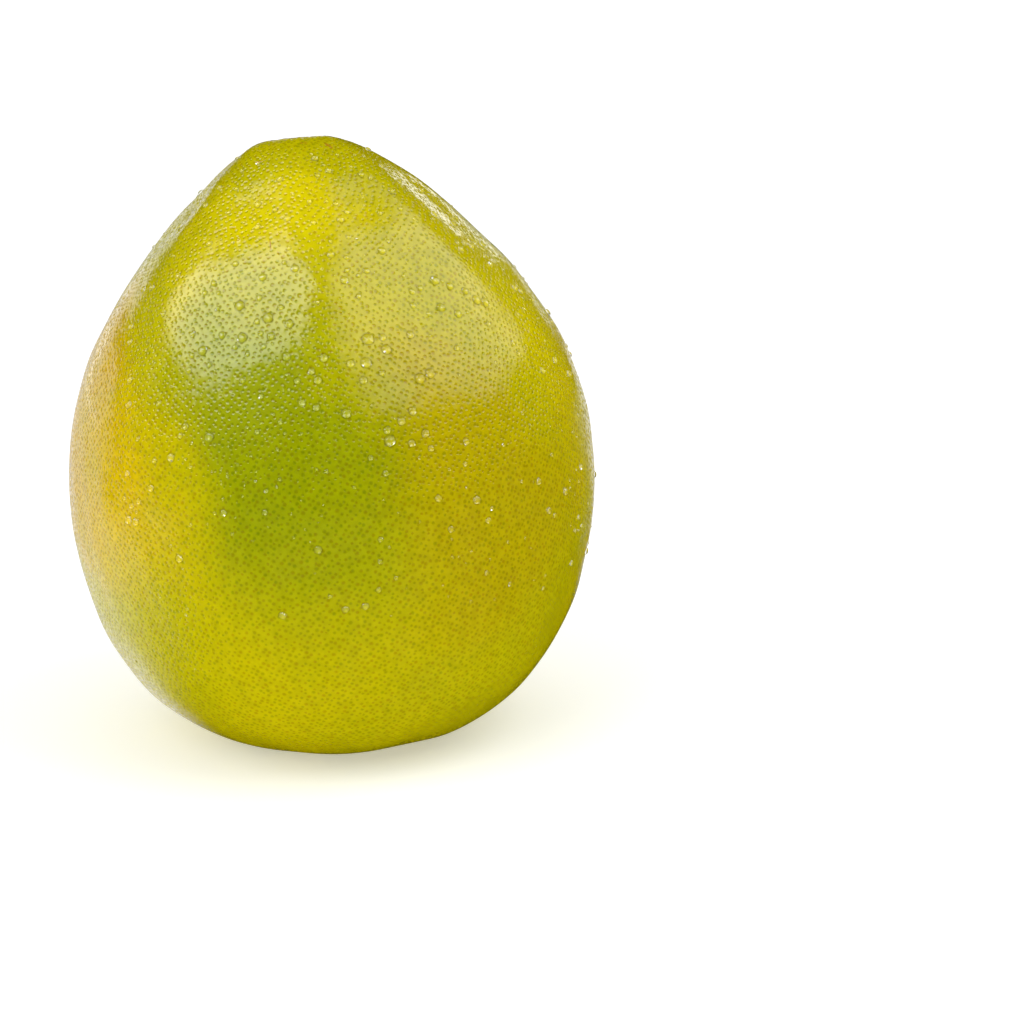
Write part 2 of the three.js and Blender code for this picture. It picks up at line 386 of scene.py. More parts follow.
class FinishBoard:
    """A procedural material in the making, with the few steps that all finishes share."""

    def __init__(self, name: str) -> None:
        """Start a material with the standard shader.

        Args:
            name: Name of the material.
        """
        self.material = bpy.data.materials.new(name)
        self.material.use_nodes = True
        self.tree = self.material.node_tree
        self.shader = self.tree.nodes["Principled BSDF"]

    def add(self, kind: str, **settings: object) -> bpy.types.Node:
        """Add a node and set its plain properties.

        Args:
            kind: Type of the node.
            **settings: Properties to set on it.

        Returns:
            The new node.
        """
        node = self.tree.nodes.new(kind)
        for name, value in settings.items():
            setattr(node, name, value)
        return node

    def feed(self, socket: Socket, value: object) -> None:
        """Link a socket to another one, or set it to a value.

        Args:
            socket: The input to fill.
            value: An output socket, a number, a colour or a vector.
        """
        if isinstance(value, Socket):
            self.tree.links.new(value, socket)
        else:
            socket.default_value = value

    def dress(self, inputs: dict[str, object]) -> bpy.types.Material:
        """Fill some of the shader's inputs.

        Args:
            inputs: A value or a socket for each input's name.

        Returns:
            The material.
        """
        for name, value in inputs.items():
            self.feed(self.shader.inputs[name], value)
        return self.material

    def place(self) -> Socket:
        """Give the place on the piece in metres, in the part's own frame."""
        return self.add("ShaderNodeTexCoord").outputs["Object"]

    def attribute(self, name: str, output: str) -> Socket:
        """Read one output of a value that the mesh carries under a name."""
        return self.add("ShaderNodeAttribute", attribute_name=name).outputs[output]

    def calculate(self, operation: str, first: object, second: object = 0.0) -> Socket:
        """Do one sum on two numbers.

        Args:
            operation: Name of the sum, such as MULTIPLY.
            first: First number or socket.
            second: Second number or socket.

        Returns:
            The socket with the result.
        """
        node = self.add("ShaderNodeMath", operation=operation)
        self.feed(node.inputs[0], first)
        self.feed(node.inputs[1], second)
        return node.outputs[0]

    def times(self, first: object, second: object) -> Socket:
        """Multiply two numbers."""
        return self.calculate("MULTIPLY", first, second)

    def less(self, first: object, second: object) -> Socket:
        """Take the second number from the first."""
        return self.calculate("SUBTRACT", first, second)

    def ramp(self, value: object, low: float, high: float, start: float = 0.0, end: float = 1.0) -> Socket:
        """Map a number smoothly from one range to another, held at both ends.

        Args:
            value: Number or socket.
            low: Value where the change begins.
            high: Value where the change ends.
            start: Result at low.
            end: Result at high.

        Returns:
            The socket with the result.
        """
        node = self.add("ShaderNodeMapRange", interpolation_type="SMOOTHSTEP")
        self.feed(node.inputs["Value"], value)
        for name, number in (("From Min", low), ("From Max", high), ("To Min", start), ("To Max", end)):
            node.inputs[name].default_value = number
        return node.outputs["Result"]

    def noise(self, place: Socket, size: float, detail: float = 2.0) -> Socket:
        """Add cloudy noise.

        Args:
            place: Where the noise is read.
            size: Rough size of its blotches in metres.
            detail: How many finer layers it has.

        Returns:
            The socket with a number near 0.5.
        """
        node = self.add("ShaderNodeTexNoise")
        self.feed(node.inputs["Vector"], place)
        node.inputs["Scale"].default_value = 1 / size
        node.inputs["Detail"].default_value = detail
        return node.outputs["Fac"]

    def mix(self, share: object, first: object, second: object, blend: str = "MIX") -> Socket:
        """Mix two colours.

        Args:
            share: How much of the second colour.
            first: Colour or socket.
            second: Colour or socket.
            blend: How the second colour is laid on the first.

        Returns:
            The socket with the colour.
        """
        node = self.add("ShaderNodeMix", data_type="RGBA", blend_type=blend)
        self.feed(node.inputs[0], share)
        self.feed(node.inputs[6], first)
        self.feed(node.inputs[7], second)
        return node.outputs[2]

    def apart(self, place: Socket, centre: object) -> Socket:
        """Measure the distance between a place and a centre.

        Args:
            place: The place.
            centre: A point or the socket of one.

        Returns:
            The socket with the distance in metres.
        """
        node = self.add("ShaderNodeVectorMath", operation="DISTANCE")
        self.feed(node.inputs[0], place)
        self.feed(node.inputs[1], centre)
        return node.outputs["Value"]

    def bump(self, height: object, depth: float, below: object = None) -> Socket:
        """Shade a small relief.

        Args:
            height: Socket with a height from 0 to 1.
            depth: Height in metres that 1 stands for.
            below: The relief under this one.

        Returns:
            The socket with the bent normal.
        """
        node = self.add("ShaderNodeBump")
        node.inputs["Strength"].default_value = 1.0
        node.inputs["Distance"].default_value = depth
        self.feed(node.inputs["Height"], height)
        if below is not None:
            self.feed(node.inputs["Normal"], below)
        return node.outputs["Normal"]


class Ripeness(Enum):
    """The tones that ripening leaves on the rind."""

    GREEN = "green"
    YELLOW = "yellow"
    OCHRE = "ochre"
    GOLD = "gold"
    BLUSH = "blush"


@dataclass(frozen=True)
class RindPatch:
    """A soft-edged patch of rind that is riper or greener than the rest."""

    tone: Ripeness
    centre: Point
    reach: float
    strength: float


@dataclass(frozen=True)
class Scratch:
    """A fine russet scratch between two places on the rind."""

    start: Point
    end: Point
    half_width: float


@dataclass(frozen=True)
class RindFinish:
    """Waxy pomelo rind: soft patches of colour, oil pores that are darkened partly with painted shade, fine
    mottling, and wet spots under the drops with painted light and painted shade.
    """

    name: str = "pomelo_rind"
    ground: Colour = photo_colour(195, 182, 0)
    green: Colour = photo_colour(146, 154, 0)
    yellow: Colour = photo_colour(217, 199, 0)
    ochre: Colour = photo_colour(181, 163, 0)
    gold: Colour = photo_colour(211, 181, 0)
    blush: Colour = photo_colour(205, 167, 0)
    russet: Colour = photo_colour(168, 96, 30)
    # The pores' colour is the land's colour times these: partly the oil glands' own darker tone and partly
    # painted shade in the pits.
    pore_green_and_shade: Colour = (0.68, 0.76, 0.0, 1.0)
    pore_ochre_and_shade: Colour = (0.84, 0.72, 0.0, 1.0)
    roughness: Limits = (0.09, 0.12)
    wear_size: float = 9 * MM
    specular: float = 0.5
    noise_band: Limits = (0.3, 0.7)
    pore_edge: Limits = (0.35, 1.15)
    pore_relief: float = 0.11 * MM
    wax_size: float = 1.1 * MM
    wax_relief: float = 0.009 * MM
    peel_size: float = 3.2 * MM
    peel_relief: float = 0.07 * MM
    cloud_size: float = 34 * MM
    cloud_band: Limits = (0.35, 0.65)
    cloud_strength: float = 0.25
    fray: float = 50 * MM
    patch_core: float = 0.25
    mottle_size: float = 2.6 * MM
    mottle: Limits = (0.92, 1.07)
    stem: Point = (-0.008, 0.0, 0.167)
    russet_reach: Limits = (7.2 * MM, 24 * MM)
    speck_size: float = 1.5 * MM
    speck_band: Limits = (0.64, 0.7)
    speck_strength: float = 0.75
    scratch_core: float = 0.2
    scratch_strength: float = 0.65
    torn_size: float = 1.2 * MM
    torn_band: Limits = (0.3, 0.55)
    wet_edge: Limits = (0.93, 1.0)
    drop_hollow: float = 0.3
    # Painted light and painted shade under the drops: the bright spot's offset, reach and strength, and the
    # darker ring round each drop's rim.
    focus: Point = (0.15, -0.05, -0.5)
    focus_reach: Limits = (0.1, 0.9)
    gathered_light: float = 1.3
    rim_shade: float = 0.35
    rim_inside: Limits = (0.7, 0.98)
    rim_outside: Limits = (1.0, 1.35)
    patches: tuple[RindPatch, ...] = (
        RindPatch(Ripeness.YELLOW, (-0.008, -0.033, 0.156), 0.028, 0.85),
        RindPatch(Ripeness.YELLOW, (-0.030, -0.036, 0.141), 0.026, 0.35),
        RindPatch(Ripeness.YELLOW, (0.052, -0.015, 0.128), 0.034, 0.5),
        RindPatch(Ripeness.GOLD, (-0.057, -0.048, 0.080), 0.042, 1.0),
        RindPatch(Ripeness.BLUSH, (-0.073, -0.014, 0.090), 0.050, 1.0),
        RindPatch(Ripeness.BLUSH, (-0.060, -0.018, 0.121), 0.034, 0.8),
        RindPatch(Ripeness.OCHRE, (0.034, -0.062, 0.100), 0.038, 0.9),
        RindPatch(Ripeness.GREEN, (-0.016, -0.053, 0.129), 0.027, 0.5),
        RindPatch(Ripeness.GREEN, (-0.034, -0.056, 0.114), 0.022, 0.5),
        RindPatch(Ripeness.GREEN, (-0.009, -0.069, 0.103), 0.034, 1.0),
        RindPatch(Ripeness.GREEN, (0.000, -0.075, 0.080), 0.044, 0.75),
        RindPatch(Ripeness.OCHRE, (0.052, -0.052, 0.070), 0.045, 0.9),
        RindPatch(Ripeness.YELLOW, (0.030, 0.065, 0.105), 0.060, 0.8),
        RindPatch(Ripeness.GREEN, (-0.030, 0.062, 0.075), 0.055, 0.8),
        RindPatch(Ripeness.BLUSH, (0.072, 0.015, 0.085), 0.050, 0.35),
    )
    scratches: tuple[Scratch, ...] = (
        Scratch((-0.0099, -0.0464, 0.1454), (-0.0054, -0.0440, 0.1488), 0.26 * MM),
        Scratch((-0.0133, -0.0409, 0.1495), (-0.0128, -0.0440, 0.1468), 0.24 * MM),
        Scratch((-0.0114, -0.0442, 0.1471), (-0.0091, -0.0475, 0.1444), 0.2 * MM),
        Scratch((-0.0192, -0.0174, 0.1664), (-0.0158, -0.0182, 0.1675), 0.4 * MM),
        Scratch((-0.0073, -0.0144, 0.1718), (-0.0056, -0.0155, 0.1713), 0.5 * MM),
        Scratch((-0.0002, -0.0131, 0.1713), (0.0023, -0.0147, 0.1701), 0.6 * MM),
    )

    def make(self) -> bpy.types.Material:
        """Build the material.

        Returns:
            The rind's material, which reads the pores and the drops that the rind's mesh carries.
        """
        board = FinishBoard(self.name)
        place = board.place()
        skin = self._skin_colour(board, place)
        way_out = self._way_out(board, place, "pore")
        under_drop = self._way_out(board, place, "drop")
        dry = board.ramp(under_drop, *self.wet_edge)
        tone = board.attribute("pore_tone", "Fac")
        # Partly painted shade: the pores are darker than the land, partly by their own tone and partly as
        # shade in the pits.
        pore_colour_and_shade = board.mix(1.0, skin, board.mix(tone, self.pore_green_and_shade, self.pore_ochre_and_shade), "MULTIPLY")
        in_pore = board.times(board.ramp(way_out, *self.pore_edge, 1, 0), dry)
        colour = self._paint_drop_light_and_shade(board, place, under_drop, board.mix(in_pore, skin, pore_colour_and_shade))
        wear = board.ramp(board.noise(place, self.wear_size, 3), *self.noise_band, *self.roughness)
        peel = board.bump(board.noise(place, self.peel_size, 1), self.peel_relief)
        wax = board.bump(board.noise(place, self.wax_size, 3), self.wax_relief, peel)
        pit = board.times(board.times(self._bowl(board, way_out), dry), self.pore_relief)
        hollow = board.times(board.attribute("drop_radius", "Fac"), self.drop_hollow)
        dent = board.times(self._bowl(board, under_drop), hollow)
        relief = board.bump(board.less(0.0, board.calculate("ADD", pit, dent)), 1.0, wax)
        return board.dress({
            "Base Color": colour,
            "Roughness": wear,
            "Specular IOR Level": self.specular,
            "Normal": relief,
        })

    @staticmethod
    def _bowl(board: FinishBoard, way_out: Socket) -> Socket:
        """Shape a round bowl.

        Args:
            board: The material in the making.
            way_out: How far each place is from its middle, 1 at the rim.

        Returns:
            The socket with the depth: 1 in the middle, 0 from the rim outwards.
        """
        inside = board.calculate("MINIMUM", way_out, 1.0)
        return board.less(1.0, board.times(inside, inside))

    def _skin_colour(self, board: FinishBoard, place: Socket) -> Socket:
        """Mix the colour of the land between the pores.

        Args:
            board: The material in the making.
            place: The place on the rind.

        Returns:
            The socket with the colour.
        """
        cloud = board.noise(place, self.cloud_size, 3)
        fray = board.times(board.less(cloud, 0.5), self.fray)
        greener = board.ramp(cloud, *self.cloud_band, 0, self.cloud_strength)
        colour = board.mix(greener, self.ground, self.green)
        tones = dict(zip(Ripeness, (self.green, self.yellow, self.ochre, self.gold, self.blush)))
        for patch in self.patches:
            distance = board.calculate("ADD", board.apart(place, patch.centre), fray)
            share = board.ramp(distance, patch.reach * self.patch_core, patch.reach, patch.strength, 0)
            colour = board.mix(share, colour, tones[patch.tone])
        near_stem = board.ramp(board.apart(place, self.stem), *self.russet_reach, 1, 0)
        specks = board.ramp(board.noise(place, self.speck_size, 2), *self.speck_band, 0, self.speck_strength)
        colour = board.mix(board.times(near_stem, specks), colour, self.russet)
        for scratch in self.scratches:
            colour = board.mix(self._scratched(board, place, scratch), colour, self.russet)
        mottle = board.ramp(board.noise(place, self.mottle_size, 3), *self.noise_band, *self.mottle)
        return self._scaled(board, colour, mottle)

    @staticmethod
    def _scaled(board: FinishBoard, colour: object, factor: object) -> Socket:
        """Make a colour lighter or darker, or a vector longer or shorter.

        Args:
            board: The material in the making.
            colour: The colour or vector.
            factor: What to multiply it by.

        Returns:
            The socket with the result.
        """
        node = board.add("ShaderNodeVectorMath", operation="SCALE")
        board.feed(node.inputs[0], colour)
        board.feed(node.inputs["Scale"], factor)
        return node.outputs[0]

    def _scratched(self, board: FinishBoard, place: Socket, scratch: Scratch) -> Socket:
        """Find how much a scratch covers a place, within a slender ellipse round the scratch's two ends.

        Args:
            board: The material in the making.
            place: The place on the rind.
            scratch: The scratch.

        Returns:
            The socket with a number from 0 to 1.
        """
        span = math.dist(scratch.start, scratch.end)
        spare = math.hypot(span, 2 * scratch.half_width) - span
        way = board.calculate("ADD", board.apart(place, scratch.start), board.apart(place, scratch.end))
        torn = board.ramp(board.noise(place, self.torn_size, 1), *self.torn_band)
        core = span + spare * self.scratch_core
        return board.times(board.ramp(way, core, span + spare, self.scratch_strength, 0), torn)

    def _paint_drop_light_and_shade(
        self, board: FinishBoard, place: Socket, way_out: Socket, colour: object
    ) -> Socket:
        """Paint light onto the rind where a drop gathers the light, and paint shade round the drop's rim.

        Args:
            board: The material in the making.
            place: The place on the rind.
            way_out: How far the place is from the middle of its drop.
            colour: The rind's colour.

        Returns:
            The socket with the colour.
        """
        radius = board.attribute("drop_radius", "Fac")
        # Painted light: a brighter spot towards the lower side of each drop, where the drop would gather the
        # light.
        bright_spot = board.add("ShaderNodeVectorMath", operation="ADD")
        board.feed(bright_spot.inputs[0], board.attribute("drop_centre", "Vector"))
        board.feed(bright_spot.inputs[1], self._scaled(board, self.focus, radius))
        from_spot = board.calculate("DIVIDE", board.apart(place, bright_spot.outputs[0]), radius)
        gathered = board.ramp(from_spot, *self.focus_reach, self.gathered_light, 1)
        # Painted shade: a darker ring just inside and just outside each drop's rim.
        rim = board.times(board.ramp(way_out, *self.rim_inside), board.ramp(way_out, *self.rim_outside, 1, 0))
        shade = board.less(1.0, board.times(rim, self.rim_shade))
        return self._scaled(board, colour, board.times(gathered, shade))

    @staticmethod
    def _way_out(board: FinishBoard, place: Socket, thing: str) -> Socket:
        """Find how far each place is from the middle of the nearest thing of one kind.

        Args:
            board: The material in the making.
            place: The place on the rind.
            thing: What it is: pore or drop.

        Returns:
            The socket with 0 in the middle of the thing, 1 at its rim and more outside it.
        """
        distance = board.apart(place, board.attribute(f"{thing}_centre", "Vector"))
        radius = board.calculate("MAXIMUM", board.attribute(f"{thing}_radius", "Fac"), LEAST_RADIUS)
        return board.calculate("DIVIDE", distance, radius)


@dataclass
class Rind:
    """The rind: one closed skin with every oil pore in it, as wide apart as the real ones."""

    form: PomeloForm
    water: "WaterDrops"
    finish: RindFinish = RindFinish()
    pore_count: int = 31500
    crowding_near_stem: float = 0.7
    crowding_reach: float = 0.07
    pore_jitter: float = 0.16
    pore_depth: float = 0.13 * MM
    pore_radius: float = 0.57 * MM
    pore_sizes: Limits = (0.72, 1.22)
    scar_radius: float = 2.2 * MM
    stem_margin: float = 0.9
    plain_stem: float = 0.85
    plain_scar: float = 0.75
    plain_spacing: float = 1.0 * MM
    seed: int = 41

    def build(self) -> bpy.types.Object:
        """Make the rind's mesh and dress it.

        Returns:
            The rind.
        """
        draw = np.random.default_rng(self.seed)
        pore_share, pore_angle = self._pores(draw)
        plain_share, plain_angle = self._plain_places()
        share = np.concatenate([pore_share, plain_share])
        angle = np.concatenate([pore_angle, plain_angle])
        faces_round = self._neighbours(share, angle)
        land_share, land_angle = self._between(share, angle, faces_round)
        level = self.form.skin(share, angle)
        is_pore = np.arange(len(share)) < len(pore_share)
        size = np.where(is_pore, draw.uniform(*self.pore_sizes, len(share)), 0)
        sunk = level - self.form.normals(share, angle) * (self.pore_depth * size)[:, None]
        points = np.concatenate([sunk, self.form.skin(land_share, land_angle)])
        points[:, 2] = np.maximum(points[:, 2], 0)
        faces, owner = self._fans(faces_round, len(share))
        rind = mesh_piece("rind", points, faces.tolist(), self.finish.make())
        centre, radius = self.water.nearest(points[faces].mean(axis=1))
        carried = {
            "pore_centre": level[owner],
            "pore_radius": (self.pore_radius * size)[owner],
            "pore_tone": draw.uniform(0, 1, len(share))[owner],
            "drop_centre": centre,
            "drop_radius": radius,
        }
        for name, values in carried.items():
            self._carry(rind.data, name, values)
        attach(rind, BODY)
        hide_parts("fruit")
        return rind

    def _pores(self, draw: np.random.Generator) -> tuple[Array, Array]:
        """Strew the pores evenly in a golden spiral, a little closer near the stem, each shifted at random.

        Args:
            draw: The seeded source of the shifts.

        Returns:
            Shares of the outline and angles, one for each pore.
        """
        form = self.form
        share = form.shares
        crowding = 1 + self.crowding_near_stem * np.exp(-((share / self.crowding_reach) ** 2))
        weight = form.outline[:, 0] * crowding
        band = (weight[1:] + weight[:-1]) / 2 * np.diff(share)
        gathered = np.concatenate([[0.0], np.cumsum(band)])
        turn = np.arange(self.pore_count)
        place = np.interp((turn + 0.5) / self.pore_count * gathered[-1], gathered, share)
        skin_area = 2 * math.pi * form.length * gathered[-1]
        spacing = math.sqrt(skin_area / self.pore_count) / np.sqrt(np.interp(place, share, crowding))
        shift = draw.normal(size=(2, self.pore_count)) * self.pore_jitter * spacing
        angle = turn * GOLDEN_ANGLE + shift[0] / np.maximum(form.radius_at(place), spacing)
        place = place + shift[1] / form.length
        scar_side = 1 - self.scar_radius / form.length
        kept = (place > form.floor_edge * self.stem_margin) & (place < scar_side)
        return place[kept], angle[kept]

    def _plain_places(self) -> tuple[Array, Array]:
        """Ring the middles of the stem basin and of the blossom scar with places that carry no pore.

        Returns:
            Shares of the outline and angles.
        """
        shares, angles = [0.0, 1.0], [0.0, 0.0]
        stem_reach = self.form.basin_floor_radius * self.plain_stem
        scar_reach = self.scar_radius * self.plain_scar
        for reach, from_stem in ((stem_reach, True), (scar_reach, False)):
            rings = max(1, round(reach / self.plain_spacing))
            for ring in range(1, rings + 1):
                radius = reach * ring / rings
                count = max(6, round(2 * math.pi * radius / self.plain_spacing))
                share = radius / self.form.length
                shares += [share if from_stem else 1 - share] * count
                angles += [2 * math.pi * (i + ring % 2 / 2) / count for i in range(count)]
        return np.array(shares), np.array(angles)

    @staticmethod
    def _directions(share: Array, angle: Array) -> Array:
        """Spread places over a unit sphere, so that neighbours stay neighbours.

        Args:
            share: Shares of the outline.
            angle: Angles round the axis.

        Returns:
            One unit vector a row.
        """
        down = np.pi * share
        return np.stack([np.sin(down) * np.cos(angle), np.sin(down) * np.sin(angle), np.cos(down)], axis=-1)

    def _neighbours(self, share: Array, angle: Array) -> Array:
        """Join neighbouring places into triangles.

        Args:
            share: Shares of the outline.
            angle: Angles round the axis.

        Returns:
            Three place numbers a row, turning the same way seen from outside.
        """
        directions = self._directions(share, angle)
        shell = bmesh.new()
        for direction in directions:
            shell.verts.new(direction)
        shell.verts.index_update()
        bmesh.ops.convex_hull(shell, input=shell.verts)
        triangles = np.array([[vertex.index for vertex in face.verts] for face in shell.faces])
        shell.free()
        a, b, c = (directions[triangles[:, corner]] for corner in range(3))
        outward = np.einsum("ij,ij->i", np.cross(b - a, c - a), a + b + c) > 0
        triangles[~outward] = triangles[~outward][:, ::-1]
        return triangles

    def _between(self, share: Array, angle: Array, triangles: Array) -> tuple[Array, Array]:
        """Find the middle of each triangle, where the land between three pores is.

        Args:
            share: Shares of the outline.
            angle: Angles round the axis.
            triangles: Three place numbers a row.

        Returns:
            Shares of the outline and angles of the middles.
        """
        middle = unit(self._directions(share, angle)[triangles].sum(axis=1))
        return np.arccos(np.clip(middle[:, 2], -1, 1)) / np.pi, np.arctan2(middle[:, 1], middle[:, 0])

    @staticmethod
    def _fans(triangles: Array, place_count: int) -> tuple[Array, Array]:
        """Lay a fan of triangles round each place, out to the land on all sides.

        Args:
            triangles: Three place numbers a row.
            place_count: How many places there are. The land's vertices follow theirs.

        Returns:
            The vertex numbers of each fan triangle, and the place that it belongs to.
        """
        tail = triangles.ravel()
        head = np.roll(triangles, -1, axis=1).ravel()
        land = np.repeat(np.arange(len(triangles)), 3)
        forward = tail * place_count + head
        order = np.argsort(forward)
        twin = order[np.searchsorted(forward[order], head * place_count + tail)]
        fans = np.stack([tail, place_count + land[twin], place_count + land], axis=1)
        return fans, tail

    @staticmethod
    def _carry(mesh: bpy.types.Mesh, name: str, values: Array) -> None:
        """Write a value for each face onto the mesh, for the finish to read.

        Args:
            mesh: The mesh.
            name: Name of the attribute.
            values: One number or one vector a face.
        """
        kind, key = ("FLOAT", "value") if values.ndim == 1 else ("FLOAT_VECTOR", "vector")
        attribute = mesh.attributes.new(name, kind, "FACE")
        attribute.data.foreach_set(key, np.ascontiguousarray(values, np.float32).ravel())


@dataclass(frozen=True)
class CalyxFinish:
    """Dry woody calyx: green-brown, fibrous and matt."""

    name: str = "dry_calyx"
    wood: Colour = photo_colour(132, 118, 52)
    dark: Colour = photo_colour(82, 62, 30)
    fibre_size: float = 0.5 * MM
    fibre_band: Limits = (0.45, 0.7)
    fibre_strength: float = 0.5
    blotch_size: float = 2.4 * MM
    blotch_band: Limits = (0.35, 0.65)
    roughness: float = 0.75
    fibre_relief: float = 0.12 * MM

    def make(self) -> bpy.types.Material:
        """Build the material.

        Returns:
            The calyx's material.
        """
        board = FinishBoard(self.name)
        place = board.place()
        fibres = board.noise(place, self.fibre_size, 4)
        blotches = board.ramp(board.noise(place, self.blotch_size, 3), *self.blotch_band)
        streaks = board.ramp(fibres, *self.fibre_band, 0, self.fibre_strength)
        colour = board.mix(streaks, board.mix(blotches, self.wood, self.dark), self.dark)
        relief = board.bump(fibres, self.fibre_relief)
        return board.dress({"Base Color": colour, "Roughness": self.roughness, "Normal": relief})


@dataclass
class Calyx:
    """The calyx that stays in the stem basin: five blunt sepals round the cut stub of the stem."""

    form: PomeloForm
    finish: CalyxFinish = CalyxFinish()
    radius: float = 4.9 * MM
    thickness: float = 0.9 * MM
    lobes: int = 5
    lobe_swell: float = 0.17
    stub_radius: float = 2.1 * MM
    stub_height: float = 0.6 * MM
    stub_dish: float = 0.25 * MM
    seat_gap: float = 0.3 * MM
    sides: int = 160
    wrinkle: float = 0.035
    wrinkle_count: int = 31
    wrinkle_wander: float = 1.5

    def _section(self) -> list[tuple[float, float, float]]:
        """Give the section from the middle of the underside to the middle of the cut.

        Returns:
            Radius, height and share of the lobes of each ring.
        """
        top, cut = self.thickness, self.thickness + self.stub_height
        return [
            (self.radius * 0.3, 0, 0),
            (self.radius * 0.8, 0, 0.8),
            (self.radius * 0.95, top * 0.08, 1),
            (self.radius, top * 0.3, 1),
            (self.radius * 0.98, top * 0.55, 1),
            (self.radius * 0.9, top * 0.78, 0.95),
            (self.radius * 0.8, top * 0.9, 0.8),
            (self.radius * 0.7, top * 0.97, 0.55),
            (self.radius * 0.6, top, 0.3),
            (self.stub_radius * 1.22, top * 1.03, 0.1),
            (self.stub_radius * 1.06, top * 1.15, 0),
            (self.stub_radius, top + self.stub_height * 0.4, 0),
            (self.stub_radius, cut - self.stub_height * 0.15, 0),
            (self.stub_radius * 0.94, cut, 0),
            (self.stub_radius * 0.8, cut - self.stub_dish * 0.1, 0),
            (self.stub_radius * 0.6, cut - self.stub_dish * 0.5, 0),
            (self.stub_radius * 0.35, cut - self.stub_dish * 0.9, 0),
            (self.stub_radius * 0.12, cut - self.stub_dish, 0),
        ]

    def build(self) -> bpy.types.Object:
        """Make the calyx and seat it in the basin.

        Returns:
            The calyx.
        """
        section = self._section()
        angle = 2 * math.pi * np.arange(self.sides) / self.sides
        folds = np.sin(self.wrinkle_count * angle + self.wrinkle_wander * np.sin(4 * angle))
        rings = []
        for radius, height, lobed in section:
            reach = radius * (1 + self.lobe_swell * lobed * np.cos(self.lobes * angle))
            reach = reach * (1 + self.wrinkle * folds * (radius < self.radius * 0.99))
            rise = height * (1 + self.wrinkle * folds * (height > 0))
            rings.append(np.stack([reach * np.cos(angle), reach * np.sin(angle), rise], axis=1))
        ends = np.array([[0, 0, 0], [0, 0, section[-1][1]]])
        points = np.concatenate([ends[:1], *rings, ends[1:]])
        seat = self._seat()
        points = np.array([seat @ Vector(point) for point in points])
        calyx = mesh_piece("calyx", points, stacked_faces(len(section), self.sides), self.finish.make())
        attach(calyx, BODY)
        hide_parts("calyx_button")
        return calyx

    def _seat(self) -> Matrix:
        """Find the place and slope of the basin's floor.

        Returns:
            The matrix that seats the calyx there.
        """
        middle, right, back = (
            Vector(self.form.surface(np.array(share), np.array(angle)))
            for share, angle in ((0.0, 0.0), (self.form.floor_edge, 0.0), (self.form.floor_edge, math.pi / 2))
        )
        floor_up = (right - middle).cross(back - middle).normalized()
        slope = Vector((0, 0, 1)).rotation_difference(floor_up).to_matrix().to_4x4()
        return Matrix.Translation(middle + self.seat_gap * floor_up) @ slope


@dataclass(frozen=True)
class WaterFinish:
    """Clear water."""

    name: str = "clear_water"
    tint: Colour = (1.0, 1.0, 0.98, 1.0)
    refraction: float = 1.333
    roughness: float = 0.05

    def make(self) -> bpy.types.Material:
        """Build the material.

        Returns:
            The water's material.
        """
        return FinishBoard(self.name).dress({
            "Base Color": self.tint,
            "Transmission Weight": 1.0,
            "IOR": self.refraction,
            "Roughness": self.roughness,
        })


@dataclass(frozen=True)
class Drop:
    """One drop of water: where it sits and how wide it is."""

    share: float
    angle: float
    radius: float


@dataclass(frozen=True)
class Sprinkle:
    """Larger drops that lie together round a place on the rind."""

    share: float
    angle: float
    reach: float
    count: int
    smallest: float
    largest: float


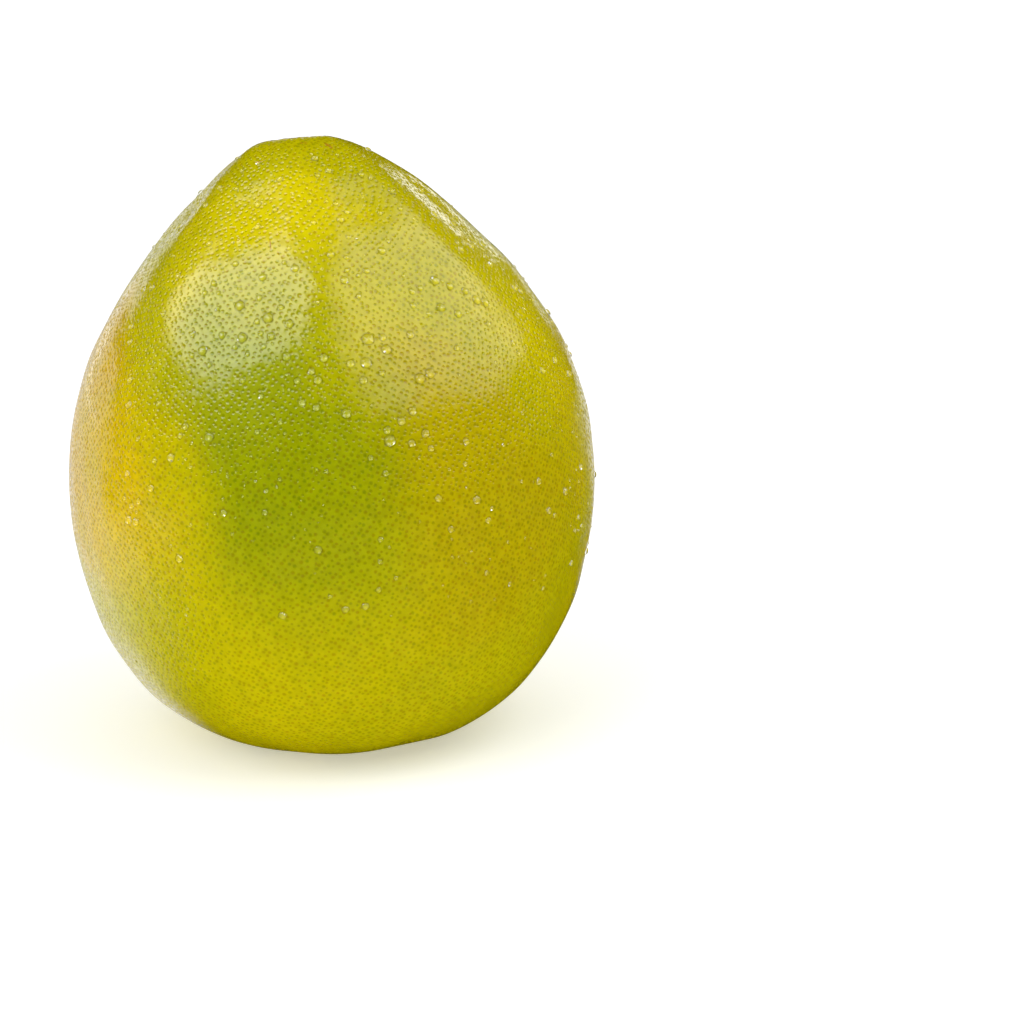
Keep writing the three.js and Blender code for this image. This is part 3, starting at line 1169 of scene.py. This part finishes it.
@dataclass
class WaterDrops:
    """Drops of water that cling to the rind, most of them on its upper side."""

    form: PomeloForm
    finish: WaterFinish = WaterFinish()
    sprinkles: tuple[Sprinkle, ...] = (
        Sprinkle(0.285, -1.88, 17 * MM, 20, 0.8 * MM, 1.45 * MM),
        Sprinkle(0.335, -1.28, 12 * MM, 9, 0.85 * MM, 1.6 * MM),
        Sprinkle(0.265, -0.82, 12 * MM, 11, 0.85 * MM, 1.55 * MM),
        Sprinkle(0.36, -1.62, 14 * MM, 8, 0.7 * MM, 1.25 * MM),
        Sprinkle(0.43, -2.08, 12 * MM, 6, 0.75 * MM, 1.35 * MM),
        Sprinkle(0.5, -2.3, 6 * MM, 4, 0.85 * MM, 1.35 * MM),
        Sprinkle(0.425, -1.2, 9 * MM, 5, 0.85 * MM, 1.5 * MM),
        Sprinkle(0.2, -0.2, 14 * MM, 8, 0.6 * MM, 1.2 * MM),
        Sprinkle(0.15, -1.5, 26 * MM, 26, 0.5 * MM, 1.05 * MM),
        Sprinkle(0.42, -1.85, 26 * MM, 50, 0.26 * MM, 0.5 * MM),
        Sprinkle(0.3, 1.1, 22 * MM, 14, 0.7 * MM, 1.4 * MM),
        Sprinkle(0.33, 2.4, 20 * MM, 12, 0.7 * MM, 1.4 * MM),
    )
    count: int = 700
    smallest: float = 0.3 * MM
    largest: float = 1.15 * MM
    fewest_big: float = 2.4
    lowest_share: float = 0.68
    lowest_height: float = 0.3
    top_gap: float = 1 * MM
    dry_side: float = -53 * MM
    gap: float = 1.3 * MM
    sides: int = 20
    rings: int = 6
    plumpness: float = 0.62
    sink: float = 0.12 * MM
    bulge: float = 0.85
    sag: float = 0.16
    rim_waves: Limits = (0.05, 0.03)
    seed: int = 11
    rim_seed: int = 12
    drops: list[Drop] = field(init=False, repr=False)
    middles: list[Array] = field(init=False, repr=False)

    def __post_init__(self) -> None:
        """Lay every drop once, so that the rind knows where it is wet."""
        self.drops, self.middles = self._strewn(np.random.default_rng(self.seed))

    def build(self) -> bpy.types.Object:
        """Make all the drops as one piece.

        Returns:
            The drops.
        """
        draw = np.random.default_rng(self.rim_seed)
        domes = [self._dome(drop, draw) for drop in self.drops]
        pattern = stacked_faces(self.rings, self.sides)
        starts = [number * len(domes[0]) for number in range(len(domes))]
        faces = [tuple(start + corner for corner in face) for start in starts for face in pattern]
        water = mesh_piece("water_drops", np.concatenate(domes), faces, self.finish.make())
        hide_from(water, "shadow", "diffuse")
        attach(water, BODY)
        return water

    def nearest(self, places: Array) -> tuple[Array, Array]:
        """Find the drop whose rim is nearest to each place.

        Args:
            places: One point a row.

        Returns:
            The middle and the radius of each place's drop, one a row.
        """
        gap = np.full(len(places), np.inf)
        chosen = np.zeros(len(places), int)
        for number, (drop, middle) in enumerate(zip(self.drops, self.middles)):
            to_rim = np.linalg.norm(places - middle, axis=1) - drop.radius
            closer = to_rim < gap
            gap[closer], chosen[closer] = to_rim[closer], number
        radii = np.array([drop.radius for drop in self.drops])
        return np.array(self.middles)[chosen], radii[chosen]

    def _strewn(self, draw: np.random.Generator) -> tuple[list[Drop], list[Array]]:
        """Lay the sprinkles first, then strew the other drops at random, all clear of one another.

        Args:
            draw: The seeded source of their places.

        Returns:
            The drops and their middles on the rind.
        """
        drops: list[Drop] = []
        taken: list[Array] = []
        for sprinkle in self.sprinkles:
            left = sprinkle.count
            while left:
                left -= self._laid(self._near(sprinkle, draw), drops, taken)
        while len(drops) < self.count:
            self._laid(self._anywhere(draw), drops, taken)
        return drops, taken

    def _near(self, sprinkle: Sprinkle, draw: np.random.Generator) -> Drop:
        """Draw one drop of a sprinkle.

        Args:
            sprinkle: The sprinkle.
            draw: The seeded source of its place.

        Returns:
            The drop.
        """
        along, across = draw.normal(size=2) * sprinkle.reach / 2
        girth = max(float(self.form.radius_at(np.array(sprinkle.share))), sprinkle.reach)
        radius = draw.uniform(sprinkle.smallest, sprinkle.largest)
        return Drop(sprinkle.share + along / self.form.length, sprinkle.angle + across / girth, radius)

    def _anywhere(self, draw: np.random.Generator) -> Drop:
        """Draw one drop anywhere on the upper side: small ones are common and big ones rare.

        Args:
            draw: The seeded source of its place.

        Returns:
            The drop.
        """
        height = draw.uniform(self.lowest_height, 1.0) * (self.form.height - self.top_gap)
        radius = self.smallest + (self.largest - self.smallest) * draw.uniform() ** self.fewest_big
        return Drop(self.form.share_at_height(height), draw.uniform(-math.pi, math.pi), radius)

    def _laid(self, drop: Drop, drops: list[Drop], taken: list[Array]) -> bool:
        """Lay a drop if its place is free and not on the side that stays dry.

        Args:
            drop: The drop.
            drops: The drops so far, which it joins.
            taken: Their middles, which its own joins.

        Returns:
            Whether it was laid.
        """
        if not 2 * self.form.floor_edge < drop.share < self.lowest_share:
            return False
        middle = self.form.skin(np.array(drop.share), np.array(drop.angle))
        crowded = any(np.linalg.norm(middle - other) < self.gap + drop.radius for other in taken)
        if crowded or middle[0] < self.dry_side:
            return False
        drops.append(drop)
        taken.append(middle)
        return True

    def _dome(self, drop: Drop, draw: np.random.Generator) -> Array:
        """Shape one drop: a plump dome with a slightly uneven rim, which sags downhill.

        Args:
            drop: The drop.
            draw: The seeded source of its rim.

        Returns:
            Its vertices, one a row.
        """
        share, angle = np.array(drop.share), np.array(drop.angle)
        normal = self.form.normals(share, angle)
        uphill = unit(np.array([0, 0, 1.0]) - normal * normal[2])
        across = np.cross(uphill, normal)
        middle = self.form.skin(share, angle) - normal * self.sink
        turn = 2 * math.pi * np.arange(self.sides) / self.sides
        uneven = 1.0
        for waves, height in enumerate(self.rim_waves, start=2):
            uneven = uneven + height * np.sin(waves * turn + draw.uniform(0, 6))
        sag = self.sag * drop.radius * math.sqrt(max(0, 1 - normal[2] ** 2))
        spokes = np.outer(np.cos(turn), across) + np.outer(np.sin(turn), uphill)
        rows = [middle[None, :]]
        for ring in range(self.rings + 1):
            tilt = math.pi / 2 * (1 - ring / self.rings)
            reach = drop.radius * math.sin(tilt) ** self.bulge
            rise = drop.radius * self.plumpness * math.cos(tilt) + self.sink * (ring > 0)
            level = middle - uphill * sag * math.cos(tilt) + normal * rise
            is_top = ring == self.rings
            rows.append(level[None, :] if is_top else level + spokes * (reach * uneven)[:, None])
        return np.concatenate(rows)


class Role(Enum):
    """What a light does in the picture."""

    SHINE = "a reflection in glossy things"
    FILL = "plain light without a reflection"


@dataclass(frozen=True)
class SoftBox:
    """A flat oval soft light that faces the fruit, shifted and rolled in its own plane."""

    name: str
    azimuth: float
    elevation: float
    distance: float
    width: float
    height: float
    brightness: float
    role: Role
    shift: tuple[float, float] = (0.0, 0.0)
    roll: float = 0.0
    feather: float = 0.0
    layers: int = 1
    layer_gap: float = 10 * MM

    def hang(self, aim: Vector) -> None:
        """Put the light up, in layers of growing size where its edge is soft.

        Args:
            aim: The point that it faces.
        """
        around, up = math.radians(self.azimuth), math.radians(self.elevation)
        away = Vector((math.sin(around) * math.cos(up), -math.cos(around) * math.cos(up), math.sin(up)))
        facing = away.to_track_quat("Z", "Y").to_matrix().to_4x4()
        shifted = Matrix.Translation((*self.shift, self.distance))
        rolled = Matrix.Rotation(math.radians(self.roll), 4, "Z")
        place = Matrix.Translation(aim) @ facing @ shifted @ rolled
        for number, size in enumerate(np.linspace(1 - self.feather, 1 + self.feather, self.layers)):
            self._layer(float(size), place @ Matrix.Translation((0, 0, number * self.layer_gap)))

    def _layer(self, size: float, place: Matrix) -> None:
        """Hang one layer of the light.

        Args:
            size: How large it is beside the whole light.
            place: Where it hangs.
        """
        lamp = bpy.data.lights.new(self.name, "AREA")
        lamp.shape = "ELLIPSE"
        lamp.size, lamp.size_y = self.width * size, self.height * size
        lamp.energy = math.pi**2 / 4 * lamp.size * lamp.size_y * self.brightness / self.layers
        light = bpy.data.objects.new(self.name, lamp)
        light.matrix_world = place
        hide_from(light, "camera", "diffuse" if self.role is Role.SHINE else "glossy")
        bpy.context.scene.collection.objects.link(light)


@dataclass
class Studio:
    """A pale floor, soft lights and the camera of the picture."""

    floor_reach: float = 9.0
    floor_drop: float = 0.1 * MM
    floor_colour: Colour = (0.9, 0.9, 0.89, 1.0)
    floor_roughness: float = 0.9
    floor_fade: Limits = (0.5, 2.5)
    floor_glow: Limits = (0.4, 0.8)
    backdrop_height: float = 6.0
    backdrop_sides: int = 48
    sweep_lift: float = 1.0 * MM
    sweep_glow: float = 1.0
    right_edge: Limits = (math.radians(-115), math.radians(-50))
    near_right_edge: Limits = (math.radians(-140), math.radians(-112))
    near_reach: Limits = (0.8, 2.2)
    left_edge: Limits = (math.radians(-35), math.radians(-10))
    front_edge: Limits = (math.radians(5), math.radians(40))
    front_reach: Limits = (0.18, 0.6)
    surroundings: Colour = (0.95, 0.97, 1.0, 1.0)
    surroundings_strength: float = 0.35
    ceiling_strength: float = 0.7
    ceiling_softness: float = math.radians(70)
    lens: float = 100.0
    sensor: float = 36.0
    camera_distance: float = 0.8205
    camera_elevation: float = math.radians(15)
    target: Point = (0.0513, 0.0, 0.0631)
    light_aim: Point = (0.0, 0.0, 0.09)
    boxes: tuple[SoftBox, ...] = (
        SoftBox("left_shine", -73, 53, 1.4, 1.98, 0.86, 4.4, Role.SHINE, (0.25, -0.01), 33, 0.12, 3),
        SoftBox("right_shine", 84, 50, 1.4, 2.5, 1.1, 2.2, Role.SHINE, (0.07, -0.11), -16, 0.2, 4),
        SoftBox("back_shine", -140, 3, 2.5, 2.6, 0.5, 1.0, Role.SHINE, (0.0, 0.0), 0, 0.1, 3),
        SoftBox("rim_shine", 163, 13, 1.5, 0.18, 0.26, 2.0, Role.SHINE),
        SoftBox("edge_shine", 164, 2, 2.5, 0.6, 0.3, 0.8, Role.SHINE, (0.0, 0.0), 0, 0.1, 3),
        SoftBox("crest_shine", -172, 18, 2.5, 1.0, 0.4, 0.9, Role.SHINE),
        SoftBox("main_light", -45, 35, 1.5, 1.6, 1.3, 2.1, Role.FILL),
        SoftBox("right_light", 75, 45, 1.5, 1.4, 1.2, 2.0, Role.FILL),
    )

    def build(self) -> None:
        """Set up the floor, the lights, the surroundings and the camera."""
        self._floor()
        self._backdrop()
        self._white_sweep()
        for box in self.boxes:
            box.hang(Vector(self.light_aim))
        self._ceiling()
        self._surroundings()
        self._camera()

    def _card(self, name: str, height: float, finish: bpy.types.Material) -> bpy.types.Object:
        """Lay a level square card as large as the floor.

        Args:
            name: The card's name.
            height: How high it lies.
            finish: Its material.

        Returns:
            The card.
        """
        corners = np.array([(-1, -1, 0), (1, -1, 0), (1, 1, 0), (-1, 1, 0)]) * self.floor_reach
        return mesh_piece(name, corners + np.array([0, 0, height]), [(0, 1, 2, 3)], finish)

    @staticmethod
    def _glowing(board: FinishBoard, glow: float | Socket) -> bpy.types.Material:
        """Finish a material that is black, glows white and is no lamp for other things.

        Args:
            board: The material in the making.
            glow: How brightly it glows.

        Returns:
            The material.
        """
        board.material.cycles.emission_sampling = "NONE"
        return board.dress({
            "Base Color": BLACK,
            "Specular IOR Level": 0.0,
            "Emission Color": WHITE,
            "Emission Strength": glow,
        })

    def _floor(self) -> None:
        """Lay the floor."""
        board = FinishBoard("pale_floor")
        far_off = board.apart(board.place(), ORIGIN)
        finish = board.dress({
            "Base Color": self.floor_colour,
            "Roughness": self.floor_roughness,
            "Specular IOR Level": 0.0,
            "Emission Color": self.floor_colour,
            "Emission Strength": board.ramp(far_off, *self.floor_fade, *self.floor_glow),
        })
        floor = self._card("floor", -self.floor_drop, finish)
        hide_from(floor, "glossy")

    def _backdrop(self) -> None:
        """Stand a white wall all round the floor's far edge, only to be looked at."""
        turns = np.arange(self.backdrop_sides) * 2 * math.pi / self.backdrop_sides
        ring = np.stack([np.cos(turns), np.sin(turns), np.zeros(len(turns))], axis=-1) * self.floor_reach
        corners = np.concatenate([ring, ring + np.array([0.0, 0.0, self.backdrop_height])])
        count = self.backdrop_sides
        walls = [(i, (i + 1) % count, count + (i + 1) % count, count + i) for i in range(count)]
        backdrop = mesh_piece("backdrop", corners, walls, self._glowing(FinishBoard("pale_backdrop"), 1.0))
        hide_from(backdrop, "diffuse", "glossy", "transmission", "shadow")

    def _white_sweep(self) -> None:
        """Lay what glossy things reflect of the floor: white behind and to the left, dark in front."""
        board = FinishBoard("white_sweep")
        split = board.add("ShaderNodeSeparateXYZ")
        board.feed(split.inputs["Vector"], board.place())
        to_front, to_left = board.less(0.0, split.outputs["Y"]), board.less(0.0, split.outputs["X"])
        around = board.calculate("ARCTAN2", to_front, to_left)
        far_off = board.apart(board.place(), ORIGIN)
        close_by = board.ramp(far_off, *self.near_reach, 1, 0)
        near = board.times(board.ramp(around, *self.near_right_edge), close_by)
        wide = board.calculate("MAXIMUM", board.ramp(around, *self.right_edge), near)
        behind = board.times(wide, board.ramp(around, *self.left_edge, 1, 0))
        left = board.times(board.ramp(around, *self.left_edge), board.ramp(around, *self.front_edge, 1, 0))
        in_front = board.times(left, board.ramp(far_off, *self.front_reach, 1, 0))
        glow = board.times(board.calculate("ADD", behind, in_front), self.sweep_glow)
        sweep = self._card("white_sweep", self.sweep_lift, self._glowing(board, glow))
        hide_from(sweep, "camera", "diffuse", "transmission", "shadow")

    def _ceiling(self) -> None:
        """Light everything softly from above, without a reflection of that light."""
        lamp = bpy.data.lights.new("ceiling", "SUN")
        lamp.energy = self.ceiling_strength
        lamp.angle = self.ceiling_softness
        ceiling = bpy.data.objects.new("ceiling", lamp)
        hide_from(ceiling, "glossy")
        bpy.context.scene.collection.objects.link(ceiling)

    def _surroundings(self) -> None:
        """Light the scene evenly from all round, without a reflection of that light."""
        world = bpy.data.worlds.new("surroundings")
        world.use_nodes = True
        background = world.node_tree.nodes["Background"]
        background.inputs["Color"].default_value = self.surroundings
        background.inputs["Strength"].default_value = self.surroundings_strength
        world.cycles_visibility.glossy = False
        bpy.context.scene.world = world
        bpy.context.scene.view_settings.view_transform = "Standard"

    def _camera(self) -> None:
        """Set up the camera at the picture's height and distance."""
        lens = bpy.data.cameras.new("picture_camera")
        lens.lens, lens.sensor_width = self.lens, self.sensor
        camera = bpy.data.objects.new("picture_camera", lens)
        up = self.camera_elevation
        target = Vector(self.target)
        camera.location = target + self.camera_distance * Vector((0, -math.cos(up), math.sin(up)))
        camera.rotation_euler = (math.pi / 2 - up, 0, 0)
        bpy.context.scene.collection.objects.link(camera)
        bpy.context.scene.camera = camera


def main() -> None:
    """Build the dressed fruit and its studio, and report each piece."""
    logging.basicConfig(level=logging.INFO, format="%(name)s: %(message)s")
    form = PomeloForm()
    water = WaterDrops(form)
    for maker in (Rind(form, water), Calyx(form), water):
        piece = maker.build()
        triangles = sum(len(face.vertices) - 2 for face in piece.data.polygons)
        log.info("%s has %d triangles", piece.name, triangles)
    Studio().build()
    log.info("the studio is ready")


if __name__ == "__main__":
    main()
